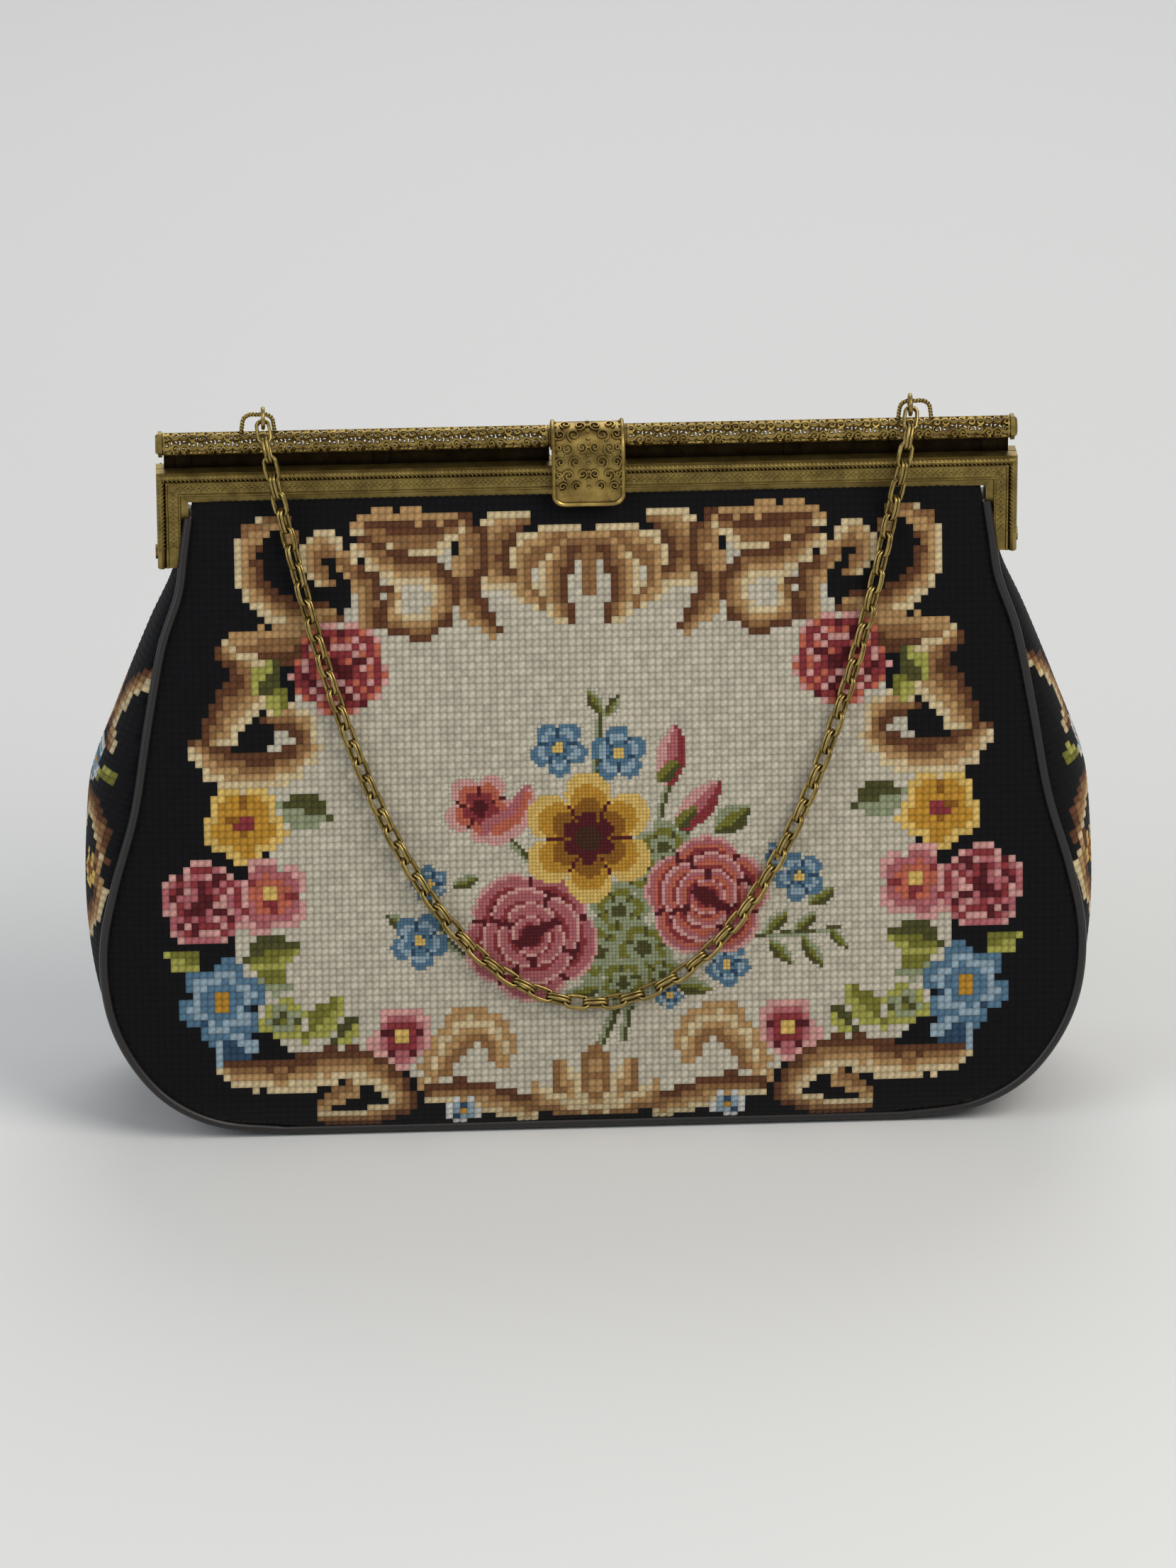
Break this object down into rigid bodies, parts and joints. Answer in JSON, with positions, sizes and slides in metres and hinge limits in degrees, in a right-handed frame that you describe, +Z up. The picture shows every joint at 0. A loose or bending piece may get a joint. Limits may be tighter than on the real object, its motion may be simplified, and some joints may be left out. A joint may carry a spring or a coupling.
{
  "type": "carpet bag",
  "caption": "Needlepoint handbag on a brass purse frame with a pierced tube, a flip clasp and a double-link chain handle.",
  "frame": {"origin": "middle of the flat bottom that the bag stands on", "axes": "+Z up, +X to the right as the front is seen, the front with the chain and the clasp faces -Y"},
  "size_m": [0.2942, 0.0767, 0.218],
  "materials": {
    "brass": "antique, worn bright on the high edges",
    "wool": "black wool tent stitch",
    "piping_leather": "thin black leather over cord",
    "lining_cloth": "plain woven lining",
    "card": "stiff grey card"
  },
  "bodies": {
    "bag": {"back_frame": "brass", "left_hinge_rivet": "brass", "right_hinge_rivet": "brass", "filigree_tube": "brass", "left_tube_cap": "brass", "right_tube_cap": "brass", "tube_posts": "brass", "left_hoop": "brass", "right_hoop": "brass", "front_panel": "wool", "back_panel": "wool", "gusset": "wool", "front_piping": "piping_leather", "back_piping": "piping_leather", "lining": "lining_cloth", "bottom_board": "card"},
    "front_half": {"front_frame": "brass", "clasp_catch": "brass"},
    "clasp_flap": {"clasp": "brass"},
    "handle": {"left_jump_ring": "brass", "right_jump_ring": "brass", "chain": "brass"}
  },
  "joints": [
    {"name": "frame_hinge", "type": "hinge", "parent": "bag", "child": "front_half", "pos_m": [0, 0, 0.1735], "axis": [1, 0, 0], "range_deg": [0, 45]},
    {"name": "clasp_hinge", "type": "hinge", "parent": "bag", "child": "clasp_flap", "pos_m": [0, 0, 0.20675], "axis": [-1, 0, 0], "range_deg": [0, 135]},
    {"name": "chain_swing", "type": "hinge", "parent": "bag", "child": "handle", "pos_m": [0, 0, 0.2153], "axis": [-1, 0, 0], "range_deg": [0, 175]}
  ],
  "couplings": [
    {"joint": "clasp_hinge", "follows": "frame_hinge", "ratio": 3},
    {"joint": "chain_swing", "follows": "frame_hinge", "ratio": 3.8}
  ]
}
